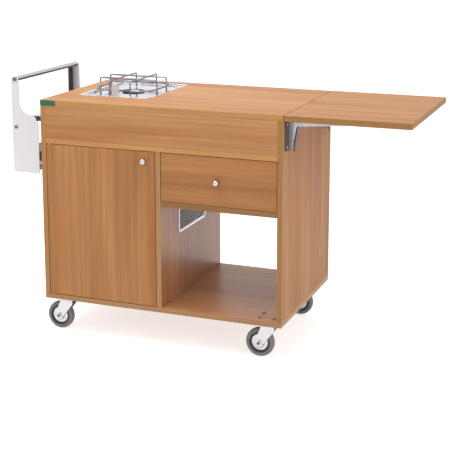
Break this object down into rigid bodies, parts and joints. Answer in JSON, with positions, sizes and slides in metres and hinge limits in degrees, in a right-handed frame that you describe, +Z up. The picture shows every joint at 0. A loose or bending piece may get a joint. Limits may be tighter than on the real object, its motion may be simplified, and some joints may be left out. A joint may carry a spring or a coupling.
{
  "type": "flambe cart",
  "caption": "Wooden serving cart on swivel casters, with a gas burner under a wire pan support, a cupboard, a drawer over an open bay, a drop leaf and a steel bottle rack.",
  "frame": {"origin": "on the floor, under the centre of the whole cart's box, with the leaf up", "axes": "+X from the bottle rack to the leaf, +Y from the front with the door and drawer to the back, +Z up"},
  "size_m": [1.438, 0.582, 0.903],
  "materials": {
    "board": "satin lacquered beech",
    "drawer_box": "plain birch",
    "stainless": "brushed",
    "polished_steel": "polished",
    "chrome": "polished",
    "knob_metal": "satin",
    "zinc_steel": "zinc plated",
    "white_steel": "satin paint",
    "dark_steel": "satin dark plating",
    "dark_plastic": "matt",
    "burner_alloy": "satin",
    "burner_iron": "matt enamel",
    "brass": "satin",
    "hub_steel": "zinc plated",
    "tyre": "matt grey rubber"
  },
  "bodies": {
    "cabinet": {"bottom_board": "board", "left_side": "board", "right_side": "board", "divider": "board", "burner_shelf": "board", "drawer_shelf": "board", "front_apron": "board", "rear_apron": "board", "cupboard_back": "board", "drawer_bay_back": "board", "top_board": "board", "vent_grille": "stainless", "door_pins": "zinc_steel", "door_catch": "dark_plastic", "cabinet_rails": "white_steel", "bracket_legs": "zinc_steel", "bracket_pins": "zinc_steel", "hob_tray": "stainless", "burner_base": "burner_alloy", "burner_crown": "burner_iron", "gas_tap": "brass", "gas_pipe": "brass", "rack_front_end": "stainless", "rack_rear_end": "stainless", "rack_handle": "polished_steel", "rack_tray": "stainless", "rack_rail": "polished_steel", "rack_hangers": "dark_plastic", "rack_bolts": "zinc_steel", "screws": "zinc_steel", "caster_plates": "zinc_steel"},
    "door": {"door": "board", "door_knob": "chrome", "strike_plate": "zinc_steel"},
    "drawer": {"drawer_front": "board", "drawer_sides": "drawer_box", "drawer_back": "drawer_box", "drawer_bottom": "drawer_box", "drawer_knob": "chrome", "drawer_rails": "white_steel"},
    "leaf": {"leaf_board": "board", "bracket_arms": "zinc_steel"},
    "front_lever": {"front_lock_lever": "dark_steel"},
    "rear_lever": {"rear_lock_lever": "dark_steel"},
    "burner_cap": {"burner_cap": "burner_alloy"},
    "pan_support": {"pan_support": "polished_steel"},
    "tap_stem": {"tap_stem": "zinc_steel"},
    "gas_knob": {"gas_knob": "knob_metal"},
    "front_left_caster": {"front_left_fork": "zinc_steel"},
    "front_left_wheel": {"front_left_hub": "hub_steel", "front_left_tyre": "tyre"},
    "front_right_caster": {"front_right_fork": "zinc_steel"},
    "front_right_wheel": {"front_right_hub": "hub_steel", "front_right_tyre": "tyre"},
    "rear_left_caster": {"rear_left_fork": "zinc_steel"},
    "rear_left_wheel": {"rear_left_hub": "hub_steel", "rear_left_tyre": "tyre"},
    "rear_right_caster": {"rear_right_fork": "zinc_steel"},
    "rear_right_wheel": {"rear_right_hub": "hub_steel", "rear_right_tyre": "tyre"}
  },
  "joints": [
    {"name": "door_hinge", "type": "hinge", "parent": "cabinet", "child": "door", "pos_m": [-0.546, -0.258, 0.414], "axis": [0, 0, -1], "range_deg": [0, 110]},
    {"name": "drawer_slide", "type": "slide", "parent": "cabinet", "child": "drawer", "axis": [0, -1, 0], "range_m": [0, 0.33]},
    {"name": "leaf_fold", "type": "hinge", "parent": "cabinet", "child": "leaf", "pos_m": [0.32, 0.014, 0.802], "axis": [0, 1, 0], "range_deg": [0, 90]},
    {"name": "front_lever_release", "type": "hinge", "parent": "cabinet", "child": "front_lever", "pos_m": [0.311, -0.189, 0.742], "axis": [0, -1, 0], "range_deg": [0, 10], "stiffness_Nm_per_rad": 0.4},
    {"name": "rear_lever_release", "type": "hinge", "parent": "cabinet", "child": "rear_lever", "pos_m": [0.311, 0.217, 0.742], "axis": [0, -1, 0], "range_deg": [0, 10], "stiffness_Nm_per_rad": 0.4},
    {"name": "pan_support_lift", "type": "slide", "parent": "cabinet", "child": "pan_support", "axis": [0, 0, 1], "range_m": [0, 0.06]},
    {"name": "burner_cap_lift", "type": "slide", "parent": "cabinet", "child": "burner_cap", "axis": [0, 0, 1], "range_m": [0, 0.02]},
    {"name": "gas_knob_push", "type": "slide", "parent": "cabinet", "child": "tap_stem", "axis": [0, 0, -1], "range_m": [0, 0.003], "stiffness_N_per_m": 1000, "springref_m": -0.005},
    {"name": "gas_knob_turn", "type": "hinge", "parent": "tap_stem", "child": "gas_knob", "pos_m": [-0.374, -0.0855, 0.85], "axis": [0, 0, 1], "range_deg": [0, 210]},
    {"name": "front_left_swivel", "type": "hinge", "parent": "cabinet", "child": "front_left_caster", "pos_m": [-0.514, -0.208, 0.11], "axis": [0, 0, 1], "continuous": true},
    {"name": "front_left_roll", "type": "hinge", "parent": "front_left_caster", "child": "front_left_wheel", "pos_m": [-0.544, -0.208, 0.05], "axis": [0, 1, 0], "continuous": true},
    {"name": "front_right_swivel", "type": "hinge", "parent": "cabinet", "child": "front_right_caster", "pos_m": [0.244, -0.208, 0.11], "axis": [0, 0, 1], "continuous": true},
    {"name": "front_right_roll", "type": "hinge", "parent": "front_right_caster", "child": "front_right_wheel", "pos_m": [0.214, -0.208, 0.05], "axis": [0, 1, 0], "continuous": true},
    {"name": "rear_left_swivel", "type": "hinge", "parent": "cabinet", "child": "rear_left_caster", "pos_m": [-0.514, 0.236, 0.11], "axis": [0, 0, 1], "continuous": true},
    {"name": "rear_left_roll", "type": "hinge", "parent": "rear_left_caster", "child": "rear_left_wheel", "pos_m": [-0.544, 0.236, 0.05], "axis": [0, 1, 0], "continuous": true},
    {"name": "rear_right_swivel", "type": "hinge", "parent": "cabinet", "child": "rear_right_caster", "pos_m": [0.244, 0.236, 0.11], "axis": [0, 0, 1], "continuous": true},
    {"name": "rear_right_roll", "type": "hinge", "parent": "rear_right_caster", "child": "rear_right_wheel", "pos_m": [0.214, 0.236, 0.05], "axis": [0, 1, 0], "continuous": true}
  ]
}
